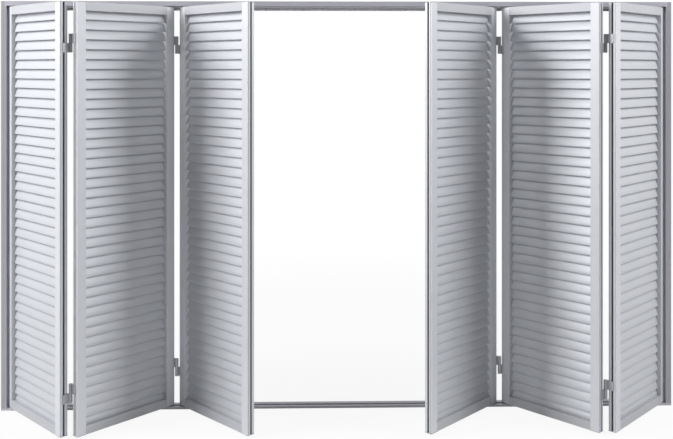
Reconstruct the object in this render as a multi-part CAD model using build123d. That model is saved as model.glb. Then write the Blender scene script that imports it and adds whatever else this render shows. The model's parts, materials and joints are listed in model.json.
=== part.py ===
from build123d import *
import os
from math import atan2, ceil, cos, degrees, hypot, radians, sin

# Folding and sliding louvred shutters in their frame. Sizes are in millimetres.
# X runs along the width, the room side that is looked at faces -Y, and Z is up.
# The origin is on the underside of the bottom rail, at mid width and mid depth of the frame.

# Leaves
leaf_width = 591.0
leaf_height = 2169.5
leaf_thickness = 41.0
fold_angle = 46.1           # angle between each leaf and the frame, as the leaves stand
fold_gap = 7.0              # between neighbouring leaf edges when closed
meeting_gap = 9.0           # between the two stacks when closed
pivot_inset = 20.0          # end pivot and guide pin from the leaf's edge

# Stiles and rails of a leaf
stile_face = 50.0
top_rail_face = 45.0
bottom_rail_face = 43.0
leaf_wall = 2.0
groove_width = 11.0
groove_depth = 11.0
land_edge = 14.0            # from mid thickness to where the edge steps back
edge_step = 2.0
arris = 1.0
cap_plate = 3.0
cap_plug_depth = 20.0
cap_clearance = 0.3

# Slats
slat_pitch = 50.0
slat_setback = 16.0         # lower edge of a slat behind the leaf's front face
slat_run_back = 18.0        # how far a slat leans back over one pitch
slat_overlap = 6.0
slat_thickness = 3.0
slat_crown = 2.6
first_slat_drop = 43.0      # top rail to the first slat's lower edge

# Hinges
pin_offset = 15.0           # fold axis outside the leaf's face
barrel_radius = 9.0         # to the flats of the barrel
barrel_sides = 8
hinge_pin_radius = 4.0
pin_end_depth = 3.0         # pin end below the top of the upper block
running_clearance = 0.05
hinge_height = 47.0         # each block
hinge_split = 0.5           # between the two blocks of a hinge
hinge_from_end = 208.0      # split of a hinge from the leaf's end
hinge_plate = 3.0
hinge_tail = 8.0            # plate past mid thickness, away from the pin
key_depth = 8.0
key_clearance = 0.2

# Frame
frame_depth = 68.0
front_setback = 28.0        # track plane behind the frame's front face
jamb_face = 21.0
jamb_clearance = 3.0
cover_thickness = 2.5       # strips clipped over the fronts of the jambs
cover_lip = 8.0             # how far a strip stands past its jamb, before the leaf's edge
cover_bead_place = 10.0     # from the strip's outer edge
cover_bead = 1.0
head_face = 25.0
head_gap = 4.0              # leaf top to head
bottom_rail_height = 12.0
bottom_gap = 2.5            # bottom rail to leaf
frame_wall = 2.0
jamb_wall = 2.5
jamb_lip = 9.0
fixing_hole_radius = 3.25
fixing_hole_count = 4
fixing_hole_spacing = 600.0
channel_half_width = 9.5
channel_ceiling = 3.0
stop_clearance = 0.86       # brush holder from the swing of the leaf corners
holder_height = 9.0         # brush holder under the rear of the head
seal_grip = 6.8
seal_slot_depth = 7.0
seal_thickness = 5.6
seal_slot_clearance = 0.2
seal_show = 13.0            # seal below its holder
rail_groove_half_width = 10.0
rail_floor = 2.5
rail_foot = 4.0
rail_skin = 3.0

# Pivots and guides
pivot_radius = 6.0
shank_radius = 7.0          # corners of the six-sided shanks inside the leaves
shank_clearance = 0.2
collar_radius = 8.5         # corners of the six-sided collars between leaf and frame
shank_length = 40.0
collar_clearance = 0.4
pivot_into_seat = 14.0
pivot_end_gap = 2.0
seat_length = 44.0
guide_pin_radius = 5.0
guide_nut_radius = 7.5
guide_nut_height = 3.0
roller_clearance = 0.4
top_roller_height = 12.0
top_roller_entry = 2.0      # top roller above the channel's mouth
bottom_roller_height = 6.4
bottom_roller_drop = 2.0    # bottom roller below the rail's top

# Places worked out from the sizes above
half_thickness = leaf_thickness / 2
corner_sweep = hypot(pivot_inset, half_thickness)
pivot_from_frame_edge = jamb_face + jamb_clearance + corner_sweep
stack_reach = 3 * leaf_width + 2 * fold_gap + meeting_gap / 2
frame_half_width = pivot_from_frame_edge - pivot_inset + stack_reach
leaf_bottom = bottom_rail_height + bottom_gap
leaf_top = leaf_bottom + leaf_height
head_mouth = leaf_top + head_gap
frame_height = head_mouth + head_face
frame_front = -frame_depth / 2
frame_back = frame_depth / 2
track_y = frame_front + front_setback
jamb_front = frame_front + cover_thickness
holder_front = track_y + corner_sweep + stop_clearance
holder_low = head_mouth - holder_height
seal_mid = (holder_front + frame_back) / 2
channel_top = frame_height - channel_ceiling

fold_reach = leaf_width - pivot_inset + fold_gap / 2
fold_side = half_thickness + pin_offset
slat_span = leaf_width - 2 * stile_face
field_top = leaf_height - top_rail_face
field_bottom = bottom_rail_face
slat_rise = slat_pitch + slat_overlap
slat_lean = atan2(slat_run_back, slat_pitch)
slat_count = ceil((field_top - first_slat_drop - field_bottom) / slat_pitch) + 1
BOTTOM = (Align.CENTER, Align.CENTER, Align.MIN)


def turned(x, y, angle):
    """The plan point (x, y) turned by an angle in degrees."""
    a = radians(angle)
    return (x * cos(a) - y * sin(a), x * sin(a) + y * cos(a))


def shifted(point, x, y, angle):
    """A plan point reached from another one by a turned offset."""
    dx, dy = turned(x, y, angle)
    return (point[0] + dx, point[1] + dy)


# Vertical axes of the left stack, as (x, y)
pivot_axis = (-frame_half_width + pivot_from_frame_edge, track_y)
outer_fold_axis = shifted(pivot_axis, fold_reach, fold_side, -fold_angle)
guide_axis = shifted(outer_fold_axis, fold_reach, -fold_side, fold_angle)
inner_fold_axis = shifted(guide_axis, pivot_inset + fold_gap / 2, -fold_side, fold_angle)


def leaf_place(axis, x, y, angle):
    """Puts the leaf's own point (x, y) on a vertical axis, with the leaf turned by an angle."""
    return Pos(axis[0], axis[1], leaf_bottom) * Rot(0, 0, angle) * Pos(-x, -y, 0)


# Leaf coordinates: x from the edge nearer the jamb, y to the back, z from the leaf's lower end
leaf_places = {
    1: leaf_place(pivot_axis, pivot_inset, 0, -fold_angle),
    2: leaf_place(outer_fold_axis, -fold_gap / 2, fold_side, fold_angle),
    3: leaf_place(inner_fold_axis, -fold_gap / 2, -fold_side, -fold_angle),
}


def outline(points):
    """A flat face from a closed list of corner points."""
    return make_face(Polyline(*points, close=True))


def block(x_range, y_range, z_range):
    """A box between pairs of limits."""
    sizes = [high - low for low, high in (x_range, y_range, z_range)]
    centre = [(high + low) / 2 for low, high in (x_range, y_range, z_range)]
    return Pos(*centre) * Box(*sizes)


def post(x, y, radius, z_low, z_high):
    """An upright cylinder."""
    return Pos(x, y, z_low) * Cylinder(radius, z_high - z_low, align=BOTTOM)


def six_sided(x, y, radius, z_low, z_high):
    """An upright six-sided bar with flats towards the leaf's edges, measured to its corners."""
    section = Rot(0, 0, 30) * RegularPolygon(radius, 6)
    return Pos(x, y, z_low) * extrude(section, z_high - z_low)


def along_x(section, x_low, x_high):
    """A section drawn in (y, z), extruded between two places on X."""
    return Pos(x_low, 0, 0) * extrude(Plane.YZ * section, x_high - x_low)


def stile(edge_x, direction):
    """A hollow stile whose outer edge is at edge_x and whose body lies in the direction (+1 or -1)."""
    h = half_thickness
    g = groove_width / 2
    w = leaf_wall
    floor = groove_depth
    outer = [(edge_step, -h), (stile_face - arris, -h), (stile_face, arris - h),
             (stile_face, h - arris), (stile_face - arris, h), (edge_step, h),
             (edge_step, land_edge), (0, land_edge), (0, g), (floor, g),
             (floor, -g), (0, -g), (0, -land_edge), (edge_step, -land_edge)]
    chamber = [(edge_step + w, w - h), (stile_face - w, w - h), (stile_face - w, h - w),
               (edge_step + w, h - w), (edge_step + w, g + w), (floor + w, g + w),
               (floor + w, -g - w), (edge_step + w, -g - w)]
    section = outline(outer) - outline(chamber)
    body = Pos(0, 0, cap_plate) * extrude(section, leaf_height - 2 * cap_plate)
    if direction < 0:
        body = mirror(body, about=Plane.YZ)
    return Pos(edge_x, 0, 0) * body


def leaf_rail(z_low, z_high):
    """A hollow rail between the stiles."""
    h = half_thickness
    w = leaf_wall
    outer = [(-h, z_low + arris), (arris - h, z_low), (h - arris, z_low), (h, z_low + arris),
             (h, z_high - arris), (h - arris, z_high), (arris - h, z_high), (-h, z_high - arris)]
    chamber = [(w - h, z_low + w), (h - w, z_low + w), (h - w, z_high - w), (w - h, z_high - w)]
    section = outline(outer) - outline(chamber)
    return along_x(section, stile_face, leaf_width - stile_face)


def slat(edge_z):
    """One arched blade with its lower front edge at edge_z, leaning back as it rises."""
    length = slat_rise / cos(slat_lean)
    t = slat_thickness
    # (distance up the blade, distance out from the line between its front edges)
    middle = length / 2
    blade = [(0, 0), (middle, slat_crown), (length, 0), (length, -t), (middle, slat_crown - t), (0, -t)]
    lean_y = sin(slat_lean)
    lean_z = cos(slat_lean)
    front_y = slat_setback - half_thickness
    section = [(front_y + s * lean_y - o * lean_z, edge_z + s * lean_z + o * lean_y)
               for s, o in blade]
    return along_x(outline(section), stile_face, leaf_width - stile_face)


def slats():
    """All the blades of a leaf. The first and the last are cut to fit against the rails."""
    field = block((0, leaf_width), (-half_thickness, half_thickness), (field_bottom, field_top))
    pieces = []
    for number in range(slat_count):
        piece = slat(field_top - first_slat_drop - number * slat_pitch)
        if number in (0, slat_count - 1):
            piece = piece & field
        pieces += piece.solids()
    return pieces


def end_caps(pin_x=None):
    """Cover plates with plugs on both ends of both stiles, with six-sided sockets where a pin is held."""
    h = half_thickness
    c = cap_clearance
    plug_low = groove_depth + leaf_wall + c
    plug_high = stile_face - leaf_wall - c
    side = h - leaf_wall - c
    pieces = []
    for mirrored in (False, True):
        for top in (False, True):
            plate = block((0, stile_face), (-h, h), (0, cap_plate))
            plug = block((plug_low, plug_high), (-side, side), (cap_plate, cap_plate + cap_plug_depth))
            cap = plate + plug
            if mirrored:
                cap = Pos(leaf_width, 0, 0) * mirror(cap, about=Plane.YZ)
            if top:
                cap = Pos(0, 0, leaf_height) * mirror(cap, about=Plane.XY)
            if pin_x:
                cap = cap - six_sided(pin_x, 0, shank_radius + shank_clearance, -1, leaf_height + 1)
            pieces += cap.solids()
    return pieces


def hinge_half(far_edge, back, upper):
    """The two blocks that one leaf gives to a fold: at its far or near edge, pinned behind or in front.

    The lower blocks carry the pins, and the upper blocks are lowered over them.
    """
    out = 1 if far_edge else -1
    side = 1 if back else -1
    edge = leaf_width if far_edge else 0
    key_half = groove_width / 2 - key_clearance
    pin_x = edge + out * fold_gap / 2
    pin_y = side * fold_side

    def patch(x_low, x_high, y_low, y_high):
        centre = Pos(edge + out * (x_low + x_high) / 2, side * (y_low + y_high) / 2)
        return centre * Rectangle(x_high - x_low, y_high - y_low)

    section = patch(0, hinge_plate, -hinge_tail, fold_side)
    section += patch(fold_gap / 2 - barrel_radius, hinge_plate, half_thickness, fold_side)
    section += patch(-key_depth, 0, -key_half, key_half)
    section += Pos(pin_x, pin_y) * Rot(0, 0, 180 / barrel_sides) * RegularPolygon(
        barrel_radius, barrel_sides, major_radius=False)
    if upper:
        section -= Pos(pin_x, pin_y) * Circle(hinge_pin_radius + running_clearance)
    pieces = []
    for split_z in (hinge_from_end, leaf_height - hinge_from_end):
        low = split_z + hinge_split / 2 if upper else split_z - hinge_split / 2 - hinge_height
        half = Pos(0, 0, low) * extrude(section, hinge_height)
        if not upper:
            pin_top = split_z + hinge_split / 2 + hinge_height - pin_end_depth
            half += post(pin_x, pin_y, hinge_pin_radius, low + hinge_height / 2, pin_top)
        pieces += half.solids()
    return pieces


def shank(x):
    """The six-sided shanks at the bottom and the top of a leaf, below and above their collars' faces."""
    bottom = six_sided(x, 0, shank_radius, 0, shank_length)
    top = six_sided(x, 0, shank_radius, leaf_height - shank_length, leaf_height)
    return bottom, top


def end_pivots():
    """Bottom and top pivot of the leaf at the jamb, in leaf coordinates."""
    x = pivot_inset
    bottom, top = shank(x)
    collar_low = collar_clearance - bottom_gap
    collar_high = leaf_height + head_gap - collar_clearance
    bottom += six_sided(x, 0, collar_radius, collar_low, 0)
    bottom += post(x, 0, pivot_radius, rail_floor + pivot_end_gap - leaf_bottom, collar_low)
    top += six_sided(x, 0, collar_radius, leaf_height, collar_high)
    top += post(x, 0, pivot_radius, collar_high, leaf_height + head_gap + pivot_into_seat)
    return bottom.solids() + top.solids()


guide_x = leaf_width - pivot_inset
top_roller_low = leaf_height + head_gap + top_roller_entry
top_roller_high = top_roller_low + top_roller_height
bottom_roller_high = -bottom_gap - bottom_roller_drop
bottom_roller_low = bottom_roller_high - bottom_roller_height


def guide_pins():
    """Bottom and top guide pin of the second leaf, in leaf coordinates."""
    bottom, top = shank(guide_x)
    collar_low = bottom_roller_high + collar_clearance
    collar_high = top_roller_low - collar_clearance
    nut_low = top_roller_high + collar_clearance
    bottom += six_sided(guide_x, 0, collar_radius, collar_low, 0)
    bottom += post(guide_x, 0, guide_pin_radius, bottom_roller_low, collar_low)
    top += six_sided(guide_x, 0, collar_radius, leaf_height, collar_high)
    top += post(guide_x, 0, guide_pin_radius, collar_high, nut_low)
    top += six_sided(guide_x, 0, guide_nut_radius, nut_low, nut_low + guide_nut_height)
    return bottom.solids() + top.solids()


def roller(groove_half_width, z_low, z_high):
    """A guide roller on the second leaf's pin, in leaf coordinates."""
    wheel = post(guide_x, 0, groove_half_width - roller_clearance, z_low, z_high)
    return (wheel - post(guide_x, 0, guide_pin_radius + running_clearance, z_low - 1, z_high + 1)).solids()


def head_track():
    """Head extrusion between the jambs: two closed chambers with the roller channel between them."""
    top = frame_height
    mouth = head_mouth
    w = frame_wall
    near = track_y - channel_half_width
    far = track_y + channel_half_width
    outer = [(frame_front, mouth), (near, mouth), (near, channel_top), (far, channel_top),
             (far, mouth), (frame_back, mouth), (frame_back, top), (frame_front, top)]
    front_chamber = [(frame_front + w, mouth + w), (near - w, mouth + w),
                     (near - w, top - w), (frame_front + w, top - w)]
    rear_chamber = [(far + w, mouth + w), (frame_back - w, mouth + w),
                    (frame_back - w, top - w), (far + w, top - w)]
    section = outline(outer) - outline(front_chamber) - outline(rear_chamber)
    reach = frame_half_width - jamb_face
    return along_x(section, -reach, reach).solids()


def brush_holder():
    """Extrusion under the rear of the head that grips the brush strip and stops the closed leaves."""
    slot_top = holder_low + seal_slot_depth
    slot_half = seal_thickness / 2 + seal_slot_clearance
    near = seal_mid - slot_half
    far = seal_mid + slot_half
    section = [(holder_front, head_mouth), (holder_front, holder_low), (near, holder_low), (near, slot_top),
               (far, slot_top), (far, holder_low), (frame_back, holder_low), (frame_back, head_mouth)]
    reach = frame_half_width - jamb_face
    return along_x(outline(section), -reach, reach).solids()


def head_seal():
    """Brush strip gripped by its holder, behind the tops of the closed leaves."""
    reach = frame_half_width - jamb_face
    half = seal_thickness / 2
    strip = block((-reach, reach), (seal_mid - half, seal_mid + half),
                  (holder_low - seal_show, holder_low + seal_grip))
    return strip.solids()


def bottom_rail():
    """Threshold extrusion under the jambs, with the guide groove and a relieved underside."""
    top = bottom_rail_height
    f = rail_foot
    s = rail_skin
    near = track_y - rail_groove_half_width
    far = track_y + rail_groove_half_width
    outer = [(frame_front, 0), (frame_front + f, 0), (frame_front + f, top - s), (near - s, top - s),
             (near - s, 0), (far + s, 0), (far + s, top - s), (frame_back - f, top - s),
             (frame_back - f, 0), (frame_back, 0), (frame_back, top - arris), (frame_back - arris, top),
             (far, top), (far, rail_floor), (near, rail_floor), (near, top),
             (frame_front + arris, top), (frame_front, top - arris)]
    return along_x(outline(outer), -frame_half_width, frame_half_width).solids()


def jamb_covers():
    """Strips clipped over the fronts of the jambs, with a fine groove and a lip that stops at the head."""
    outside = -frame_half_width
    lip_end = outside + jamb_face + cover_lip
    bead = outside + cover_bead_place
    section = [(outside, frame_front), (bead, frame_front), (bead + cover_bead, frame_front + cover_bead),
               (bead + 2 * cover_bead, frame_front), (lip_end, frame_front), (lip_end, jamb_front),
               (outside, jamb_front)]
    length = frame_height - bottom_rail_height
    strip = Pos(0, 0, bottom_rail_height) * extrude(outline(section), length)
    strip -= block((outside + jamb_face, lip_end + 1), (frame_front - 1, jamb_front + 1),
                   (head_mouth, frame_height + 1))
    pieces = strip.solids()
    return pieces + reflected(pieces)


def left_jamb():
    """Jamb extrusion, open towards the wall, with a line of fixing holes in its web."""
    outside = -frame_half_width
    inside = outside + jamb_face
    w = jamb_wall
    lip = jamb_lip
    section = [(outside, jamb_front), (inside, jamb_front), (inside, frame_back), (outside, frame_back),
               (outside, frame_back - lip), (outside + w, frame_back - lip), (outside + w, frame_back - w),
               (inside - w, frame_back - w), (inside - w, jamb_front + w), (outside + w, jamb_front + w),
               (outside + w, jamb_front + lip), (outside, jamb_front + lip)]
    length = frame_height - bottom_rail_height
    body = Pos(0, 0, bottom_rail_height) * extrude(outline(section), length)
    for z in fixing_hole_heights:
        drill = Pos(inside - w / 2, 0, z) * Rot(0, 90, 0) * Cylinder(fixing_hole_radius, 4 * w)
        body = body - drill
    return body.solids()


fixing_mid_height = bottom_rail_height + (frame_height - bottom_rail_height) / 2
fixing_hole_heights = [fixing_mid_height + (number - (fixing_hole_count - 1) / 2) * fixing_hole_spacing
                       for number in range(fixing_hole_count)]


def pivot_seats():
    """Blocks that fill the channel and the groove at both ends and take the end pivots."""
    x, y = pivot_axis
    bore = pivot_radius + running_clearance
    span = (x - seat_length / 2, x + seat_length / 2)
    low = block(span, (y - rail_groove_half_width, y + rail_groove_half_width),
                (rail_floor, bottom_rail_height))
    low -= post(x, y, bore, rail_floor + pivot_end_gap / 2, bottom_rail_height + 1)
    high = block(span, (y - channel_half_width, y + channel_half_width), (head_mouth, channel_top))
    high -= post(x, y, bore, head_mouth - 1, head_mouth + pivot_into_seat + pivot_end_gap)
    pieces = low.solids() + high.solids()
    return pieces + reflected(pieces)


def reflected(pieces):
    """The same pieces on the other side of mid width."""
    return [piece for solid in pieces for piece in mirror(solid, about=Plane.YZ).solids()]


def placed(pieces, order, right):
    """Pieces in leaf coordinates, moved to their leaf of the left or the right stack."""
    moved = [leaf_places[order] * piece for piece in pieces]
    return reflected(moved) if right else moved


def leaf_nodes(order, right):
    """Nodes of one leaf. Order counts from the jamb: 1, 2 or 3."""
    name = f"leaf_{7 - order if right else order}"
    pin_places = {1: pivot_inset, 2: guide_x, 3: None}
    near_name, far_name = ("right", "left") if right else ("left", "right")
    pieces = {
        f"{name}_{near_name}_stile": stile(0, 1).solids(),
        f"{name}_{far_name}_stile": stile(leaf_width, -1).solids(),
        f"{name}_top_rail": leaf_rail(field_top, leaf_height).solids(),
        f"{name}_bottom_rail": leaf_rail(0, field_bottom).solids(),
        f"{name}_slats": slats(),
        f"{name}_end_caps": end_caps(pin_places[order]),
        f"{name}_hinge_blocks": leaf_hinge_blocks(order, right),
    }
    if order == 2:
        pieces[f"{name}_guide_pins"] = guide_pins()
    if order == 1:
        pieces[f"{name}_pivots"] = end_pivots()
    return {node: placed(solids, order, right) for node, solids in pieces.items()}


def leaf_hinge_blocks(order, right):
    """Outer folds have the upper block on the right-hand leaf, inner folds on the left-hand leaf."""
    outer_upper = (order == 1) if right else (order == 2)
    inner_upper = (order == 3) if right else (order == 2)
    if order == 1:
        return hinge_half(True, True, outer_upper)
    if order == 3:
        return hinge_half(False, False, inner_upper)
    return hinge_half(False, True, outer_upper) + hinge_half(True, False, inner_upper)


def shutter_nodes():
    """Every node of the shutters by name, each as a list of separate solids."""
    jamb = left_jamb()
    nodes = {
        "head_track": head_track(),
        "brush_holder": brush_holder(),
        "head_seal": head_seal(),
        "bottom_rail": bottom_rail(),
        "left_jamb": jamb,
        "right_jamb": reflected(jamb),
        "jamb_covers": jamb_covers(),
        "pivot_seats": pivot_seats(),
    }
    for right in (False, True):
        for order in (1, 2, 3):
            nodes.update(leaf_nodes(order, right))
        side = "right" if right else "left"
        top = roller(channel_half_width, top_roller_low, top_roller_high)
        bottom = roller(rail_groove_half_width, bottom_roller_low, bottom_roller_high)
        nodes[f"{side}_top_roller"] = placed(top, 2, right)
        nodes[f"{side}_bottom_roller"] = placed(bottom, 2, right)
    return nodes


def main():
    os.makedirs("parts", exist_ok=True)
    for node, solids in shutter_nodes().items():
        shape = solids[0] if len(solids) == 1 else Compound(children=solids)
        export_step(shape, f"parts/{node}.step")


main()
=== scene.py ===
"""Finishes, louvre blades, screws, edge seals, brush strip and stage for folding shutters."""

import json
from math import atan2, cos, radians, sin

import bpy
from bpy.props import FloatProperty, FloatVectorProperty, IntProperty, PointerProperty
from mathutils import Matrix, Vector


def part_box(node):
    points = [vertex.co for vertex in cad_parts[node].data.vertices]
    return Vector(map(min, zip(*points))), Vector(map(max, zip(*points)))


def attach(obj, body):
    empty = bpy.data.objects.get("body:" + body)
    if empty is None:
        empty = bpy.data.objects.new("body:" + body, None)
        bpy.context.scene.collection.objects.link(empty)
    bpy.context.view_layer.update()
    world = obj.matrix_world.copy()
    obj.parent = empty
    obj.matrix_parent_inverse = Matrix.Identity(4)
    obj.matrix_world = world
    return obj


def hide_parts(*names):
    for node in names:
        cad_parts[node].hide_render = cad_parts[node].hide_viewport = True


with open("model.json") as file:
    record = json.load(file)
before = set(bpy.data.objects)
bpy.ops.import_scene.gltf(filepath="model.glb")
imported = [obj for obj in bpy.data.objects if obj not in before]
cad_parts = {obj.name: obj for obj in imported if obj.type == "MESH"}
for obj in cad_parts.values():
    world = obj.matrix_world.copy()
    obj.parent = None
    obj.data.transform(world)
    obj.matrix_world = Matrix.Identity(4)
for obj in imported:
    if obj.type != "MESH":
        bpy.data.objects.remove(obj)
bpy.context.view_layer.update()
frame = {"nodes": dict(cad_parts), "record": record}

bl_info = {
    "name": "Louvred Shutters",
    "version": (1, 0, 0),
    "blender": (4, 5, 0),
    "location": "3D View > Sidebar > Shutters",
    "description": "Finishes, blades, screws, seals, brush strip and stage for folding shutters",
    "category": "Object",
}

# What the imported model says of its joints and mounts
RECORD = frame["record"]
JOINTS = {joint["name"]: joint for joint in RECORD["behaviour"]["joints"]}
MOUNTS = {mount["name"]: mount for mount in RECORD["mounts"]}
FOLD_ANGLE = radians(JOINTS["left_stack_fold"]["range_deg"][1])
MM_PER_METRE = 1000

# Leaves, numbered from the left, and where their hinges are. Side -1 is a leaf's left edge.
LEAVES = (1, 2, 3, 4, 5, 6)
NO_LEFT_HINGE = (1, 4)
NO_RIGHT_HINGE = (3, 6)
OUTER_FOLDS = ((1, 1.0), (2, -1.0), (5, 1.0), (6, -1.0))

# Coordinate scales of the finishes: even, or drawn out along an extrusion, a ring or a fibre
EVEN = (1.0, 1.0, 1.0)
ALONG_THE_HEAD = (2.0, 260.0, 260.0)
UP_A_STILE = (260.0, 260.0, 2.0)
ALONG_A_RAIL = (2.0, 2.0, 260.0)
ALONG_A_SLAT = (2.0, 2.0, 300.0)
ROUND_A_PIN = (6.0, 6.0, 2400.0)
DOWN_A_BRISTLE = (1800.0, 1800.0, 40.0)
NOISE_ROUGHNESS = 0.55

# Facets of the grown pieces, and the angle in radians from which an edge of a blade is sharp
BLADE_CUTS = 3
NOSE_STEPS = 3
MERGE_DISTANCE = 0.00001
CREASE_ANGLE = 0.75
HEAD_SIDES = 16
BEAD_SIDES = 16
TUFT_SIDES = 6
# Steps of a screw head, from rim to socket: share of the width that is left, rise in head heights
HEAD_STEPS = ((0.86, 0.30), (0.55, 0.12), (0.92, -1.05))
# Bristles: a tuft's taper, its lean and turn in radians, and the margins at the strip's ends,
# in spacings, and along its sides, in tuft radii
TUFT_TAPER = 0.7
TUFT_LEAN = 0.05
TUFT_TURN = 3.1
END_MARGIN = 2.0
SIDE_MARGIN = 2.5

# The photograph's frame in pixels, and the camera's sensor in millimetres
PHOTO_WIDTH = 673
PHOTO_HEIGHT = 439
SENSOR = 36.0

# Studio, in metres. The floor turns white over distances from its middle, and the reflected
# light fades over the Y and the Z of the direction that it comes from.
KEY_PLACE = (-5.2, -1.75, 4.3)
FILL_PLACE = (5.2, -1.75, 4.3)
LAMP_TARGET = (0.0, 0.0, 1.0)
LAMP_WIDTH = 1.8
LAMP_HEIGHT = 4.0
FLOOR_HALF = 14.0
FLOOR_FADE = (1.6, 4.5)
FRONT_FADE = (-0.75, 0.05)
CEILING_FADE = (0.15, 0.8)
WHITE = (1.0, 1.0, 1.0, 1.0)
FLOOR_GREY = (0.85, 0.85, 0.85, 1.0)


def leaf_angle(leaf):
    """A leaf's turn in plan. Odd leaves run to the front right, even ones to the back right."""
    return -FOLD_ANGLE if leaf % 2 else FOLD_ANGLE


def leaf_box(leaf, piece):
    """Lowest and highest corner of a leaf's piece: along the leaf, through its thickness and up."""
    angle = leaf_angle(leaf)
    node = frame["nodes"][f"leaf_{leaf}_{piece}"]
    points = [node.matrix_world @ vertex.co for vertex in node.data.vertices]
    along = [p.x * cos(angle) + p.y * sin(angle) for p in points]
    through = [p.y * cos(angle) - p.x * sin(angle) for p in points]
    heights = [p.z for p in points]
    spans = (along, through, heights)
    return Vector([min(span) for span in spans]), Vector([max(span) for span in spans])


def from_leaf(leaf, along, through, height):
    """A point or direction in a leaf's own coordinates, turned into the shared frame."""
    angle = leaf_angle(leaf)
    x = along * cos(angle) - through * sin(angle)
    y = along * sin(angle) + through * cos(angle)
    return Vector((x, y, height))


class Wire:
    """A node's output that takes part in plain arithmetic."""

    def __init__(self, maker, node, output=0):
        self.maker = maker
        self.node = node
        self.socket = node.outputs[output]

    def out(self, output):
        return Wire(self.maker, self.node, output)

    def __add__(self, other):
        return self.maker.math("ADD", self, other)

    def __radd__(self, other):
        return self.maker.math("ADD", other, self)

    def __sub__(self, other):
        return self.maker.math("SUBTRACT", self, other)

    def __rsub__(self, other):
        return self.maker.math("SUBTRACT", other, self)

    def __mul__(self, other):
        return self.maker.math("MULTIPLY", self, other)

    def __rmul__(self, other):
        return self.maker.math("MULTIPLY", other, self)

    def __truediv__(self, other):
        return self.maker.math("DIVIDE", self, other)

    def __rtruediv__(self, other):
        return self.maker.math("DIVIDE", other, self)


class Maker:
    """Adds nodes to one tree. Settings go in first, then the values or links of the sockets."""

    def __init__(self, tree):
        self.tree = tree
        tree.nodes.clear()

    def add(self, kind, settings=None, sockets=None):
        node = self.tree.nodes.new(kind)
        for name, value in (settings or {}).items():
            setattr(node, name, value)
        for name, value in (sockets or {}).items():
            if isinstance(value, Wire):
                self.tree.links.new(value.socket, node.inputs[name])
            else:
                node.inputs[name].default_value = value
        return Wire(self, node) if node.outputs else None

    def math(self, operation, *values):
        return self.add("ShaderNodeMath", {"operation": operation}, dict(enumerate(values)))

    def smaller(self, first, second):
        return self.math("MINIMUM", first, second)

    def larger(self, first, second):
        return self.math("MAXIMUM", first, second)

    def vector(self, x=0.0, y=0.0, z=0.0):
        """Three numbers put together."""
        return self.add("ShaderNodeCombineXYZ", None, {"X": x, "Y": y, "Z": z})

    def axes(self, vector):
        """A vector taken apart, with X, Y and Z as its outputs."""
        return self.add("ShaderNodeSeparateXYZ", None, {0: vector})

    def fade(self, value, ends, low, high):
        """Runs smoothly from low to high while the value goes from one end to the other."""
        return self.add("ShaderNodeMapRange", {"interpolation_type": "SMOOTHSTEP"},
                        {"Value": value, "From Min": ends[0], "From Max": ends[1],
                         "To Min": low, "To Max": high})

    def join(self, *pieces):
        """Pieces of geometry made one."""
        joined = self.add("GeometryNodeJoinGeometry")
        for piece in pieces:
            self.tree.links.new(piece.socket, joined.node.inputs[0])
        return joined


# Settings that a user would change
def length(name, description, default):
    return FloatProperty(name=name, description=description, default=default, unit="LENGTH",
                         precision=4)


def power(name, description, default):
    return FloatProperty(name=name, description=description, default=default, unit="POWER")


def colour(name, description, default):
    return FloatVectorProperty(name=name, description=description, default=default,
                               subtype="COLOR", size=3, min=0.0, max=1.0)


def factor(name, description, default):
    return FloatProperty(name=name, description=description, default=default, min=0.0, max=1.0,
                         subtype="FACTOR")


class FinishSettings(bpy.types.PropertyGroup):
    """Colours and gloss of the surfaces."""

    leaf: colour("Leaf colour", "Powder coat on the leaves' stiles", (0.71, 0.725, 0.76))
    # Painted shade: the rails have the stiles' powder coat, and their colour is set darker than the
    # leaf colour.
    rail: colour("Rail colour", "Powder coat on the leaves' rails", (0.55, 0.56, 0.59))
    # Painted shade: the slats have the stiles' powder coat, and their colour is set darker than the
    # leaf colour.
    slat: colour("Slat colour", "Powder coat on the slats", (0.585, 0.60, 0.635))
    body: colour("Frame colour", "Powder coat on the outer frame", (0.47, 0.465, 0.515))
    # Painted light: the head track has the frame's powder coat, and its colour is set lighter than
    # the frame colour.
    head: colour("Head colour", "Powder coat on the head track", (0.60, 0.595, 0.66))
    sill: colour("Sill colour", "Powder coat on the threshold", (0.60, 0.595, 0.64))
    # Partly painted light: a light alloy colour, set lighter still where the head's front shades
    # the holder.
    holder: colour("Holder colour", "Plain alloy of the brush holder", (0.90, 0.90, 0.93))
    hinge: colour("Hinge colour", "Cast hinge blocks", (0.46, 0.46, 0.49))
    cap: colour("Cap colour", "Moulded end caps", (0.42, 0.43, 0.46))
    block: colour("Pivot block colour", "Moulded pivot blocks", (0.05, 0.05, 0.055))
    pin: colour("Pin colour", "Steel of the pivots and guide pins", (0.55, 0.55, 0.57))
    roller: colour("Roller colour", "Moulded track rollers", (0.06, 0.06, 0.065))
    screw: colour("Screw colour", "Steel of the screws", (0.50, 0.50, 0.52))
    # Partly painted shade: the beads' near-black is a seal's rubber and also stands in for the
    # grooves' shade.
    rubber: colour("Rubber colour", "Beads in the leaf edges", (0.05, 0.05, 0.055))
    pile: colour("Pile colour", "Bristles of the brush strip", (0.40, 0.40, 0.43))
    coat_roughness: factor("Coat roughness", "Satin of the powder coat", 0.48)
    coat_metallic: factor("Coat metallic", "Metal flake in the powder coat", 0.28)


class SlatSettings(bpy.types.PropertyGroup):
    """Sizes of the louvre blades, in leaf coordinates."""

    pitch: length("Pitch", "Distance between lower edges", 0.050)
    first_drop: length("First drop", "Top rail to the first lower edge", 0.043)
    rise: length("Rise", "Height of a whole blade", 0.056)
    run_back: length("Run back", "How far a blade leans back over one pitch", 0.018)
    thickness: length("Thickness", "Thickness of a blade", 0.003)
    crown: length("Crown", "Arch of a blade's face", 0.0026)
    nose: length("Nose", "Radius of the blade's edges", 0.0013)


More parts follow.
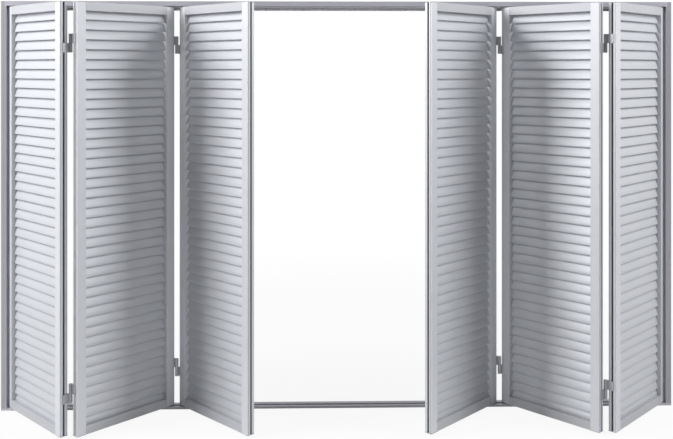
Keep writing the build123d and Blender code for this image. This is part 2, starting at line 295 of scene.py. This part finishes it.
class ScrewSettings(bpy.types.PropertyGroup):
    """Sizes and places of the screws."""

    head_radius: length("Head radius", "Radius of a countersunk head", 0.0032)
    head_height: length("Head height", "How far a head stands out", 0.0008)
    fixing_radius: length("Fixing head radius", "Radius of a frame fixing's head", 0.0055)
    hinge_plate: length("Hinge plate", "Thickness of a hinge plate", 0.003)
    hinge_height: length("Hinge block height", "Height of one hinge block", 0.047)
    hinge_split: length("Hinge split", "Gap between the blocks of a hinge", 0.0005)
    hinge_from_end: length("Hinge from end", "Split of a hinge from the leaf's end", 0.208)
    hinge_spread: length("Hinge spread", "Screw to the middle of its block", 0.013)
    cap_inset: length("Cap inset", "Screw to the leaf's edge on an end cap", 0.037)


class SealSettings(bpy.types.PropertyGroup):
    """Sizes of the rubber beads in the leaf edges."""

    groove_depth: length("Groove depth", "Depth of the groove in a leaf's edge", 0.011)
    half_width: length("Half width", "Bead from its middle to the groove's wall", 0.0052)
    half_depth: length("Half depth", "Half of the bead's thickness", 0.0012)
    clearance: length("Clearance", "Bead off the groove's floor", 0.0001)
    end_gap: length("End gap", "Bead short of the end caps", 0.004)


class BrushSettings(bpy.types.PropertyGroup):
    """Sizes of the brush strip under the head."""

    show: length("Show", "Bristles below their holder", 0.013)
    spacing: length("Spacing", "Distance between tufts", 0.0030)
    tuft: length("Tuft", "Radius of a tuft", 0.0014)
    rows: IntProperty(name="Rows", description="Rows of tufts", default=3, min=1, max=6)
    seed: IntProperty(name="Seed", description="Fixes the bristles' random lean", default=4)


class StageSettings(bpy.types.PropertyGroup):
    """Camera, lamps and background."""

    camera_x: length("Camera X", "Camera across the width", -0.0662)
    camera_y: length("Camera Y", "Camera in front of the shutters", -4.8979)
    camera_z: length("Camera Z", "Camera's height", 1.8502)
    turn: FloatProperty(name="Turn", description="Camera's turn in plan",
                        default=radians(-1.197), subtype="ANGLE")
    focal_pixels: FloatProperty(name="Focal length", default=893.6, min=1.0,
                                description="In widths of one photograph pixel")
    horizon_row: FloatProperty(name="Horizon", default=68.15,
                               description="Row of the horizon in the photograph")
    axis_column: FloatProperty(name="Axis", default=345.26,
                               description="Column of the optical axis in the photograph")
    key: power("Key lamp", "Power of the lamp at the left", 312.0)
    fill: power("Fill lamp", "Power of the lamp at the right", 200.0)
    ambient: factor("Ambient", "Light from all round", 0.175)
    low_dim: factor("Low light", "Reflected light from lower down than the ceiling", 0.95)
    front_dim: factor("Front light", "Reflected light from the camera's side", 0.10)
    floor_white: factor("Floor white", "Share of plain white in the near floor", 0.92)
    floor_mirrored: factor("Floor mirrored", "Share of plain white in the floor's reflections",
                           0.35)


# Materials
def new_material(name):
    material = bpy.data.materials.new(name)
    material.use_nodes = True
    return material, Maker(material.node_tree)


def noise(make, scale, size, detail=2.0):
    """Smooth noise from 0 to 1 on object coordinates that are scaled along each axis."""
    place = make.add("ShaderNodeTexCoord").out("Object")
    place = make.add("ShaderNodeMapping", {"vector_type": "POINT"},
                     {"Vector": place, "Scale": scale})
    return make.add("ShaderNodeTexNoise", {"noise_dimensions": "3D"},
                    {"Vector": place, "Scale": size, "Detail": detail,
                     "Roughness": NOISE_ROUGHNESS})


def shade(make, base, mask, spread):
    """The base colour, darker where the mask is 0 and lighter where it is 1."""
    dark = [channel * (1.0 - spread) for channel in base] + [1.0]
    light = [min(1.0, channel * (1.0 + spread)) for channel in base] + [1.0]
    # A Mix node keeps its colours in sockets 6 and 7, and gives the mixed one as output 2
    return make.add("ShaderNodeMix", {"data_type": "RGBA"}, {0: mask, 6: dark, 7: light}).out(2)


def finish_surface(make, tint, roughness, metallic, height, depth, strength):
    """A Principled surface with a bump, as the material's output."""
    bump = make.add("ShaderNodeBump", None,
                    {"Strength": strength, "Distance": depth, "Height": height})
    surface = make.add("ShaderNodeBsdfPrincipled", None,
                       {"Base Color": tint, "Roughness": roughness, "Metallic": metallic,
                        "Normal": bump})
    make.add("ShaderNodeOutputMaterial", None, {"Surface": surface})


def powder_coat(name, base, roughness, metallic, run):
    """Satin powder coat on an extrusion. Run is the scale that draws out its die lines."""
    material, make = new_material(name)
    cloud = noise(make, EVEN, size=2.6, detail=3.0)
    lines = noise(make, run, size=1.0, detail=3.0)
    peel = noise(make, EVEN, size=620.0, detail=1.0)
    tint = shade(make, base, 0.5 * cloud + 0.35 * lines + 0.15 * peel, spread=0.07)
    rough = roughness - 0.04 + 0.08 * lines + 0.03 * peel
    height = 0.55 * peel + 0.45 * lines
    finish_surface(make, tint, rough, metallic, height, depth=0.00035, strength=0.32)
    return material


def house_coat(finish, name, base, run):
    """Powder coat with the gloss that the leaves and the frame share."""
    return powder_coat(name, base, finish.coat_roughness, finish.coat_metallic, run)


def cast_metal(name, base):
    """Fine cast surface of hinge blocks."""
    material, make = new_material(name)
    grain = noise(make, EVEN, size=900.0, detail=3.0)
    patches = noise(make, EVEN, size=45.0)
    tint = shade(make, base, 0.6 * patches + 0.4 * grain, spread=0.16)
    finish_surface(make, tint, 0.38 + 0.14 * patches, metallic=0.65, height=grain,
                   depth=0.0004, strength=0.35)
    return material


def moulded_plastic(name, base, roughness):
    """Spark-eroded moulded plastic or rubber."""
    material, make = new_material(name)
    grain = noise(make, EVEN, size=1400.0, detail=1.0)
    patches = noise(make, EVEN, size=30.0)
    tint = shade(make, base, 0.5 * grain + 0.5 * patches, spread=0.10)
    finish_surface(make, tint, roughness + 0.10 * patches, metallic=0.0, height=grain,
                   depth=0.0003, strength=0.30)
    return material


def turned_steel(name, base):
    """Turned stainless steel with fine rings along its height."""
    material, make = new_material(name)
    rings = noise(make, ROUND_A_PIN, size=1.0)
    tint = shade(make, base, rings, spread=0.12)
    finish_surface(make, tint, 0.24 + 0.14 * rings, metallic=0.95, height=rings,
                   depth=0.0002, strength=0.25)
    return material


def brush_fibre(name, base):
    """Dark pile with fibres that run downwards."""
    material, make = new_material(name)
    fibres = noise(make, DOWN_A_BRISTLE, size=1.0)
    tint = shade(make, base, fibres, spread=0.45)
    finish_surface(make, tint, 0.82 + 0.1 * fibres, metallic=0.0, height=fibres,
                   depth=0.0005, strength=0.5)
    return material


def dress(material, *nodes):
    """Gives CAD nodes their finish."""
    for node in nodes:
        piece = frame["nodes"][node]
        if not piece.material_slots:
            piece.data.materials.append(material)
        for slot in piece.material_slots:
            slot.material = material


# Pieces grown from node trees
def new_tree(name, inputs):
    """A geometry node tree with named inputs, its maker, and a function that gives an input."""
    tree = bpy.data.node_groups.new(name, "GeometryNodeTree")
    tree.interface.new_socket("Geometry", in_out="OUTPUT", socket_type="NodeSocketGeometry")
    for label, kind in inputs.items():
        tree.interface.new_socket(label, in_out="INPUT", socket_type="NodeSocket" + kind)
    make = Maker(tree)
    return tree, make, make.add("NodeGroupInput").out


def close_tree(make, geometry, material):
    """Ends a tree in plain geometry with its material."""
    plain = make.add("GeometryNodeRealizeInstances", None, {"Geometry": geometry})
    coated = make.add("GeometryNodeSetMaterial", None, {"Geometry": plain, "Material": material})
    make.add("NodeGroupOutput", None, {"Geometry": coated})


def grown(name, tree, values, points=None):
    """A plain mesh object at the origin, grown by a tree from its values and optional points."""
    piece = bpy.data.objects.new(name, points or bpy.data.meshes.new(name))
    bpy.context.scene.collection.objects.link(piece)
    modifier = piece.modifiers.new(name, "NODES")
    modifier.node_group = tree
    for item in tree.interface.items_tree:
        if item.name in values:
            modifier[item.identifier] = values[item.name]
    graph = bpy.context.evaluated_depsgraph_get()
    mesh = bpy.data.meshes.new_from_object(piece.evaluated_get(graph), depsgraph=graph)
    piece.modifiers.clear()
    piece.data = mesh
    # The tree's own material is the last one
    if len(mesh.materials) > 1:
        mesh.materials.pop(index=0)
    if not mesh.polygons:
        raise RuntimeError(f"{name} came out empty")
    return piece


def slat_tree():
    """A row of arched blades with rounded edges, cut off level at the rails."""
    floats = ("Length", "Start", "Front", "Width", "Thickness", "Crown", "Nose", "Pitch", "Lean",
              "First Edge", "Low Limit", "High Limit", "Turn")
    inputs = {label: "Float" for label in floats} | {"Count": "Int", "Material": "Material"}
    tree, make, given = new_tree("Louvre blades", inputs)

    # One blade, drawn out upwards from its section
    section = make.add("GeometryNodeCurvePrimitiveQuadrilateral", {"mode": "RECTANGLE"},
                       {"Width": given("Width"), "Height": given("Thickness")})
    section = make.add("GeometryNodeSubdivideCurve", None,
                       {"Curve": section, "Cuts": BLADE_CUTS})
    section = make.add("GeometryNodeFilletCurve", {"mode": "POLY"},
                       {"Curve": section, "Count": NOSE_STEPS, "Radius": given("Nose"),
                        "Limit Radius": True})
    face = make.add("GeometryNodeFillCurve", {"mode": "NGONS"}, {"Curve": section})
    body = make.add("GeometryNodeExtrudeMesh", {"mode": "FACES"},
                    {"Mesh": face, "Offset": make.vector(z=given("Length")),
                     "Offset Scale": 1.0, "Individual": False})
    back = make.add("GeometryNodeFlipFaces", None, {"Mesh": face})
    blade = make.add("GeometryNodeMergeByDistance", None,
                     {"Geometry": make.join(back, body), "Distance": MERGE_DISTANCE})

    # Arched, leaned back and laid along the leaf
    place = make.axes(make.add("GeometryNodeInputPosition"))
    across = place.out("X") / given("Width") * 2.0
    up_blade = place.out("X") + given("Width") * 0.5
    outward = (place.out("Y") - given("Thickness") * 0.5
               + given("Crown") * (1.0 - across * across))
    lean_sin = make.math("SINE", given("Lean"))
    lean_cos = make.math("COSINE", given("Lean"))
    laid = make.vector(place.out("Z") + given("Start"),
                       given("Front") + up_blade * lean_sin - outward * lean_cos,
                       up_blade * lean_cos + outward * lean_sin)
    blade = make.add("GeometryNodeSetPosition", None, {"Geometry": blade, "Position": laid})

    # Repeated downwards, and slid back along its lean where a rail cuts it off
    row = make.add("GeometryNodeMeshLine", {"mode": "OFFSET"},
                   {"Count": given("Count"), "Start Location": make.vector(z=given("First Edge")),
                    "Offset": make.vector(z=0.0 - given("Pitch"))})
    blades = make.add("GeometryNodeInstanceOnPoints", None, {"Points": row, "Instance": blade})
    blades = make.add("GeometryNodeRealizeInstances", None, {"Geometry": blades})
    height = make.axes(make.add("GeometryNodeInputPosition")).out("Z")
    cut = (make.smaller(given("High Limit") - height, 0.0)
           + make.larger(given("Low Limit") - height, 0.0))
    slide = make.vector(y=cut * lean_sin / lean_cos, z=cut)
    blades = make.add("GeometryNodeSetPosition", None, {"Geometry": blades, "Offset": slide})

    crease = make.add("FunctionNodeCompare", {"operation": "GREATER_THAN"},
                      {0: make.add("GeometryNodeInputMeshEdgeAngle"), 1: CREASE_ANGLE})
    blades = make.add("GeometryNodeSetShadeSmooth", {"domain": "FACE"}, {"Geometry": blades})
    blades = make.add("GeometryNodeSetShadeSmooth", {"domain": "EDGE"},
                      {"Geometry": blades, "Selection": crease, "Shade Smooth": False})
    blades = make.add("GeometryNodeTransform", None,
                      {"Geometry": blades, "Rotation": make.vector(z=given("Turn"))})
    close_tree(make, blades, given("Material"))
    return tree


def screw_tree():
    """Domed screw heads with a socket, one on each point, facing along its facing attribute."""
    inputs = {"Geometry": "Geometry", "Radius": "Float", "Height": "Float",
              "Material": "Material"}
    tree, make, given = new_tree("Screw heads", inputs)
    head = make.add("GeometryNodeMeshCylinder", {"fill_type": "NGON"},
                    {"Vertices": HEAD_SIDES, "Radius": given("Radius"),
                     "Depth": given("Height")})
    top = head.out("Top")
    for share, rise in HEAD_STEPS:
        head = make.add("GeometryNodeExtrudeMesh", {"mode": "FACES"},
                        {"Mesh": head, "Selection": top, "Offset Scale": 1.0,
                         "Offset": make.vector(z=given("Height") * rise), "Individual": False})
        top = head.out("Top")
        head = make.add("GeometryNodeScaleElements", {"domain": "FACE"},
                        {"Geometry": head, "Selection": top, "Scale": share})
    facing = make.add("GeometryNodeInputNamedAttribute", {"data_type": "FLOAT_VECTOR"},
                      {"Name": "facing"})
    turn = make.add("FunctionNodeAlignRotationToVector", {"axis": "Z"}, {"Vector": facing})
    heads = make.add("GeometryNodeInstanceOnPoints", None,
                     {"Points": given("Geometry"), "Instance": head, "Rotation": turn})
    close_tree(make, heads, given("Material"))
    return tree


def screw_points(name, places):
    """A mesh of loose points, each with the direction that its screw head faces."""
    mesh = bpy.data.meshes.new(name)
    mesh.from_pydata([point for point, _ in places], [], [])
    facing = mesh.attributes.new("facing", "FLOAT_VECTOR", "POINT")
    for item, (_, direction) in zip(facing.data, places):
        item.vector = direction
    return mesh


def seal_tree():
    """A flattened bead on each point, standing up in the groove of a leaf's edge."""
    floats = ("Length", "Half Width", "Half Depth", "Turn")
    inputs = ({"Geometry": "Geometry"} | {label: "Float" for label in floats}
              | {"Material": "Material"})
    tree, make, given = new_tree("Edge seals", inputs)
    bead = make.add("GeometryNodeMeshCylinder", {"fill_type": "NGON"},
                    {"Vertices": BEAD_SIDES, "Side Segments": 1, "Radius": 1.0,
                     "Depth": given("Length")})
    flat = make.vector(given("Half Depth"), given("Half Width"), 1.0)
    bead = make.add("GeometryNodeTransform", None, {"Geometry": bead, "Scale": flat})
    bead = make.add("GeometryNodeTransform", None,
                    {"Geometry": bead, "Rotation": make.vector(z=given("Turn"))})
    beads = make.add("GeometryNodeInstanceOnPoints", None,
                     {"Points": given("Geometry"), "Instance": bead})
    close_tree(make, beads, given("Material"))
    return tree


def brush_tree():
    """A backing strip with tapered tufts under it, each leaning a little its own way."""
    floats = ("Length", "Depth", "Grip", "Show", "Spacing", "Tuft")
    inputs = ({label: "Float" for label in floats}
              | {"Rows": "Int", "Seed": "Int", "Centre": "Vector", "Material": "Material"})
    tree, make, given = new_tree("Brush strip", inputs)
    size = make.vector(given("Length"), given("Depth"), given("Grip"))
    backing = make.add("GeometryNodeMeshCube", None, {"Size": size})
    lift = make.vector(z=given("Grip") * 0.5)
    backing = make.add("GeometryNodeTransform", None, {"Geometry": backing, "Translation": lift})
    bed = make.add("GeometryNodeMeshGrid", None,
                   {"Size X": given("Length") - END_MARGIN * given("Spacing"),
                    "Size Y": given("Depth") - SIDE_MARGIN * given("Tuft"),
                    "Vertices X": given("Length") / given("Spacing"),
                    "Vertices Y": given("Rows")})
    tuft = make.add("GeometryNodeMeshCone", {"fill_type": "NGON"},
                    {"Vertices": TUFT_SIDES, "Radius Top": given("Tuft"),
                     "Radius Bottom": given("Tuft") * TUFT_TAPER, "Depth": given("Show")})
    drop = make.vector(z=0.0 - given("Show"))
    tuft = make.add("GeometryNodeTransform", None, {"Geometry": tuft, "Translation": drop})
    lean = make.add("FunctionNodeRandomValue", {"data_type": "FLOAT_VECTOR"},
                    {0: (-TUFT_LEAN, -TUFT_LEAN, 0.0), 1: (TUFT_LEAN, TUFT_LEAN, TUFT_TURN),
                     "Seed": given("Seed")})
    tufts = make.add("GeometryNodeInstanceOnPoints", None,
                     {"Points": bed, "Instance": tuft, "Rotation": lean})
    placed = make.add("GeometryNodeTransform", None,
                      {"Geometry": make.join(backing, tufts), "Translation": given("Centre")})
    close_tree(make, placed, given("Material"))
    return tree


# Operators, one for each piece or group of like pieces
class SHUTTERS_OT_frame(bpy.types.Operator):
    """Finishes the outer frame and the pivot blocks"""

    bl_idname = "shutters.frame"
    bl_label = "Finish the frame"

    def execute(self, context):
        finish = context.scene.shutter_finish
        # Painted light: the head colour is the frame coat set lighter.
        head = house_coat(finish, "Frame coat, head, painted light", finish.head, ALONG_THE_HEAD)
        upright = house_coat(finish, "Frame coat, upright", finish.body, UP_A_STILE)
        sill = house_coat(finish, "Frame coat, sill", finish.sill, ALONG_THE_HEAD)
        # Partly painted light: the holder's alloy is set light against the shade under the head.
        alloy = powder_coat("Brush holder alloy, painted light", finish.holder, roughness=0.34, metallic=0.5,
                            run=ALONG_THE_HEAD)
        blocks = moulded_plastic("Pivot block plastic", finish.block, roughness=0.45)
        dress(head, "head_track")
        dress(upright, "left_jamb", "right_jamb", "jamb_covers")
        dress(sill, "bottom_rail")
        dress(alloy, "brush_holder")
        dress(blocks, "pivot_seats")
        return {"FINISHED"}


class SHUTTERS_OT_leaves(bpy.types.Operator):
    """Finishes the leaves' stiles, rails and end caps"""

    bl_idname = "shutters.leaves"
    bl_label = "Finish the leaves"

    def execute(self, context):
        finish = context.scene.shutter_finish
        upright = house_coat(finish, "Leaf coat, upright", finish.leaf, UP_A_STILE)
        # Painted shade: the rail colour is the leaf coat set darker.
        level = house_coat(finish, "Leaf coat, level, painted shade", finish.rail, ALONG_A_RAIL)
        caps = moulded_plastic("Cap plastic", finish.cap, roughness=0.42)
        for leaf in LEAVES:
            dress(upright, f"leaf_{leaf}_left_stile", f"leaf_{leaf}_right_stile")
            dress(level, f"leaf_{leaf}_top_rail", f"leaf_{leaf}_bottom_rail")
            dress(caps, f"leaf_{leaf}_end_caps")
        return {"FINISHED"}


class SHUTTERS_OT_gear(bpy.types.Operator):
    """Finishes the hinge blocks, pivots, guide pins and rollers"""

    bl_idname = "shutters.gear"
    bl_label = "Finish the moving gear"

    def execute(self, context):
        finish = context.scene.shutter_finish
        blocks = cast_metal("Hinge casting", finish.hinge)
        steel = turned_steel("Pin steel", finish.pin)
        wheel = moulded_plastic("Roller plastic", finish.roller, roughness=0.38)
        for node in frame["nodes"]:
            if node.endswith("_hinge_blocks"):
                dress(blocks, node)
            elif node.endswith(("_pivots", "_pins")):
                dress(steel, node)
            elif node.endswith("_roller"):
                dress(wheel, node)
        return {"FINISHED"}


class SHUTTERS_OT_slats(bpy.types.Operator):
    """Grows the louvre blades of each leaf between its rails"""

    bl_idname = "shutters.slats"
    bl_label = "Grow the slats"

    def execute(self, context):
        sizes = context.scene.shutter_slats
        finish = context.scene.shutter_finish
        # Painted shade: the slat colour is the leaf coat set darker.
        coat = house_coat(finish, "Slat coat, painted shade", finish.slat, ALONG_A_SLAT)
        lean = atan2(sizes.run_back, sizes.pitch)
        tree = slat_tree()
        for leaf in LEAVES:
            low, high = leaf_box(leaf, "slats")
            field_low = leaf_box(leaf, "bottom_rail")[1].z
            field_high = leaf_box(leaf, "top_rail")[0].z
            first_edge = field_high - sizes.first_drop
            # One more for the first blade, and one more that the bottom rail trims
            count = int((first_edge - field_low) / sizes.pitch) + 2
            blades = grown(f"leaf_{leaf}_blades", tree, {
                "Length": high.x - low.x, "Start": low.x, "Front": low.y,
                "Width": sizes.rise / cos(lean), "Thickness": sizes.thickness,
                "Crown": sizes.crown, "Nose": sizes.nose, "Pitch": sizes.pitch, "Lean": lean,
                "First Edge": first_edge, "Low Limit": field_low, "High Limit": field_high,
                "Turn": leaf_angle(leaf), "Count": count, "Material": coat})
            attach(blades, f"leaf_{leaf}")
            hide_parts(f"leaf_{leaf}_slats")
        return {"FINISHED"}


class SHUTTERS_OT_screws(bpy.types.Operator):
    """Sets the screws of the hinge blocks, end caps and frame fixings"""

    bl_idname = "shutters.screws"
    bl_label = "Set the screws"

    def execute(self, context):
        sizes = context.scene.shutter_screws
        steel = turned_steel("Screw steel", context.scene.shutter_finish.screw)
        tree = screw_tree()
        for leaf in LEAVES:
            places = self.hinge_places(sizes, leaf) + self.cap_places(sizes, leaf)
            self.set_screws(tree, f"leaf_{leaf}_screws", f"leaf_{leaf}", places,
                            sizes.head_radius, sizes.head_height, steel)
        # The frame's larger heads stand out twice as far
        self.set_screws(tree, "frame_fixings", "frame", self.fixing_places(),
                        sizes.fixing_radius, 2 * sizes.head_height, steel)
        return {"FINISHED"}

    def set_screws(self, tree, name, body, places, radius, height, steel):
        heads = grown(name, tree, {"Radius": radius, "Height": height, "Material": steel},
                      screw_points(name, places))
        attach(heads, body)

    def hinge_places(self, sizes, leaf):
        """Screws in the plates of the leaf's hinge blocks, on its folded edges."""
        low, high = leaf_box(leaf, "end_caps")
        middle = (low.y + high.y) / 2
        edges = []
        if leaf not in NO_LEFT_HINGE:
            edges.append((low.x - sizes.hinge_plate, -1.0))
        if leaf not in NO_RIGHT_HINGE:
            edges.append((high.x + sizes.hinge_plate, 1.0))
        places = []
        for along, side in edges:
            # Outer folds have their upper block on the right-hand leaf, inner folds on the left
            upper = (side < 0) == ((leaf, side) in OUTER_FOLDS)
            for split in (low.z + sizes.hinge_from_end, high.z - sizes.hinge_from_end):
                shift = (sizes.hinge_split + sizes.hinge_height) / 2
                centre = split + shift if upper else split - shift
                for spread in (-sizes.hinge_spread, sizes.hinge_spread):
                    point = from_leaf(leaf, along, middle, centre + spread)
                    places.append((point, from_leaf(leaf, side, 0.0, 0.0)))
        return places

    def cap_places(self, sizes, leaf):
        """One screw in each end cap of the leaf."""
        low, high = leaf_box(leaf, "end_caps")
        middle = (low.y + high.y) / 2
        places = []
        for along in (low.x + sizes.cap_inset, high.x - sizes.cap_inset):
            for height, way in ((low.z, -1.0), (high.z, 1.0)):
                point = from_leaf(leaf, along, middle, height)
                places.append((point, Vector((0.0, 0.0, way))))
        return places

    def fixing_places(self):
        """Frame fixings, in the jambs' own holes."""
        places = []
        for name, mount in MOUNTS.items():
            if not name.endswith("fixings"):
                continue
            jamb = "left_jamb" if name.startswith("left") else "right_jamb"
            low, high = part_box(jamb)
            face = high[0] if jamb == "left_jamb" else low[0]
            _, depth, height = mount["pos_m"]
            half = mount["dims"]["spacing_y_mm"] / 2 / MM_PER_METRE
            for lift in (-half, half):
                point = Vector((face, depth, height + lift))
                places.append((point, -Vector(mount["axis"])))
        return places


class SHUTTERS_OT_seals(bpy.types.Operator):
    """Lays a rubber bead in the groove of each leaf edge, a seal whose black is also painted shade
    of the groove
    """

    bl_idname = "shutters.seals"
    bl_label = "Lay the edge seals"

    def execute(self, context):
        sizes = context.scene.shutter_seals
        finish = context.scene.shutter_finish
        # Partly painted shade: the bead's black also stands in for the groove's shade.
        rubber = moulded_plastic("Seal rubber and painted groove shade", finish.rubber, roughness=0.62)
        tree = seal_tree()
        inset = sizes.groove_depth - sizes.clearance - sizes.half_depth
        for leaf in LEAVES:
            low, high = leaf_box(leaf, "end_caps")
            middle = (low.y + high.y) / 2
            height = (low.z + high.z) / 2
            edges = [from_leaf(leaf, along, middle, height)
                     for along in (low.x + inset, high.x - inset)]
            points = bpy.data.meshes.new(f"leaf_{leaf}_edges")
            points.from_pydata(edges, [], [])
            beads = grown(f"leaf_{leaf}_seals", tree, {
                "Length": high.z - low.z - 2 * sizes.end_gap, "Half Width": sizes.half_width,
                "Half Depth": sizes.half_depth, "Turn": leaf_angle(leaf),
                "Material": rubber}, points)
            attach(beads, f"leaf_{leaf}")
        return {"FINISHED"}


class SHUTTERS_OT_brush(bpy.types.Operator):
    """Grows the brush strip under the head"""

    bl_idname = "shutters.brush"
    bl_label = "Grow the brush strip"

    def execute(self, context):
        sizes = context.scene.shutter_brush
        finish = context.scene.shutter_finish
        low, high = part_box("head_seal")
        root = low[2] + sizes.show
        strip = grown("brush_strip", brush_tree(), {
            "Length": high[0] - low[0], "Depth": high[1] - low[1], "Grip": high[2] - root,
            "Show": sizes.show, "Spacing": sizes.spacing, "Tuft": sizes.tuft,
            "Rows": sizes.rows, "Seed": sizes.seed,
            "Centre": ((low[0] + high[0]) / 2, (low[1] + high[1]) / 2, root),
            "Material": brush_fibre("Brush pile", finish.pile)})
        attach(strip, "frame")
        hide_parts("head_seal")
        return {"FINISHED"}


class SHUTTERS_OT_stage(bpy.types.Operator):
    """Sets the camera, the lamps, the floor and the white background"""

    bl_idname = "shutters.stage"
    bl_label = "Set the stage"

    def execute(self, context):
        scene = context.scene
        stage = scene.shutter_stage
        scene.view_settings.view_transform = "Standard"
        self.set_camera(scene, stage)
        self.add_lamp(scene, "Key lamp", stage.key, KEY_PLACE)
        self.add_lamp(scene, "Fill lamp", stage.fill, FILL_PLACE)
        self.add_floor(scene, stage)
        self.set_world(scene, stage)
        return {"FINISHED"}

    def set_camera(self, scene, stage):
        data = bpy.data.cameras.new("Camera")
        data.sensor_width = SENSOR
        data.lens = stage.focal_pixels / PHOTO_WIDTH * SENSOR
        data.shift_x = (PHOTO_WIDTH / 2 - stage.axis_column) / PHOTO_WIDTH
        data.shift_y = (stage.horizon_row - PHOTO_HEIGHT / 2) / PHOTO_WIDTH
        camera = bpy.data.objects.new("Camera", data)
        camera.location = (stage.camera_x, stage.camera_y, stage.camera_z)
        camera.rotation_euler = (radians(90), 0.0, stage.turn)
        scene.collection.objects.link(camera)
        scene.camera = camera

    def add_lamp(self, scene, name, energy, place):
        data = bpy.data.lights.new(name, "AREA")
        data.energy = energy
        data.shape = "RECTANGLE"
        data.size = LAMP_WIDTH
        data.size_y = LAMP_HEIGHT
        lamp = bpy.data.objects.new(name, data)
        lamp.location = place
        aim = Vector(LAMP_TARGET) - lamp.location
        lamp.rotation_euler = aim.to_track_quat("-Z", "Y").to_euler()
        scene.collection.objects.link(lamp)

    def seen_and_mirrored(self, make):
        """Two masks: rays that see the backdrop plainly or through glass, and its reflections."""
        path = make.add("ShaderNodeLightPath")
        seen = make.larger(path.out("Is Camera Ray"), path.out("Is Transmission Ray"))
        return seen, path.out("Is Glossy Ray")

    def add_floor(self, scene, stage):
        material, make = new_material("Floor")
        matt = make.add("ShaderNodeBsdfDiffuse", None, {"Color": FLOOR_GREY})
        white = make.add("ShaderNodeEmission", None, {"Color": WHITE, "Strength": 1.0})
        place = make.add("ShaderNodeTexCoord").out("Object")
        reach = make.add("ShaderNodeVectorMath", {"operation": "LENGTH"}, {0: place}).out("Value")
        spread = make.fade(reach, FLOOR_FADE, stage.floor_white, 1.0)
        seen, mirrored = self.seen_and_mirrored(make)
        share = seen * spread + mirrored * stage.floor_mirrored
        both = make.add("ShaderNodeMixShader", None, {0: share, 1: matt, 2: white})
        make.add("ShaderNodeOutputMaterial", None, {"Surface": both})
        mesh = bpy.data.meshes.new("floor")
        corners = [(FLOOR_HALF * x, FLOOR_HALF * y, 0.0)
                   for x, y in ((-1, -1), (1, -1), (1, 1), (-1, 1))]
        mesh.from_pydata(corners, [], [(0, 1, 2, 3)])
        mesh.materials.append(material)
        floor = bpy.data.objects.new("floor", mesh)
        scene.collection.objects.link(floor)

    def set_world(self, scene, stage):
        world = bpy.data.worlds.new("Studio")
        world.use_nodes = True
        scene.world = world
        make = Maker(world.node_tree)
        way = make.axes(make.add("ShaderNodeTexCoord").out("Generated"))
        soft = make.fade(way.out("Y"), FRONT_FADE, stage.front_dim, 1.0)
        above = make.fade(way.out("Z"), CEILING_FADE, stage.low_dim, 1.0)
        seen, mirrored = self.seen_and_mirrored(make)
        plain = make.larger(1.0 - seen - mirrored, 0.0)
        strength = seen + mirrored * soft * above + plain * stage.ambient
        light = make.add("ShaderNodeBackground", None, {"Color": WHITE, "Strength": strength})
        make.add("ShaderNodeOutputWorld", None, {"Surface": light})


OPERATORS = (SHUTTERS_OT_frame, SHUTTERS_OT_leaves, SHUTTERS_OT_gear, SHUTTERS_OT_slats,
             SHUTTERS_OT_screws, SHUTTERS_OT_seals, SHUTTERS_OT_brush, SHUTTERS_OT_stage)
SETTINGS = {
    "shutter_finish": FinishSettings,
    "shutter_slats": SlatSettings,
    "shutter_screws": ScrewSettings,
    "shutter_seals": SealSettings,
    "shutter_brush": BrushSettings,
    "shutter_stage": StageSettings,
}


class SHUTTERS_PT_sidebar(bpy.types.Panel):
    """Lists the pieces and their settings"""

    bl_idname = "SHUTTERS_PT_sidebar"
    bl_label = "Louvred shutters"
    bl_space_type = "VIEW_3D"
    bl_region_type = "UI"
    bl_category = "Shutters"

    def draw(self, context):
        for name, group in SETTINGS.items():
            box = self.layout.box()
            for setting in group.__annotations__:
                box.prop(getattr(context.scene, name), setting)
        for operator in OPERATORS:
            self.layout.operator(operator.bl_idname)


def register():
    for name, group in SETTINGS.items():
        bpy.utils.register_class(group)
        setattr(bpy.types.Scene, name, PointerProperty(type=group))
    for operator in OPERATORS:
        bpy.utils.register_class(operator)
    bpy.utils.register_class(SHUTTERS_PT_sidebar)


def unregister():
    bpy.utils.unregister_class(SHUTTERS_PT_sidebar)
    for operator in reversed(OPERATORS):
        bpy.utils.unregister_class(operator)
    for name, group in SETTINGS.items():
        delattr(bpy.types.Scene, name)
        bpy.utils.unregister_class(group)


def main():
    register()
    for operator in OPERATORS:
        group, name = operator.bl_idname.split(".")
        getattr(getattr(bpy.ops, group), name)()


if __name__ == "__main__":
    main()
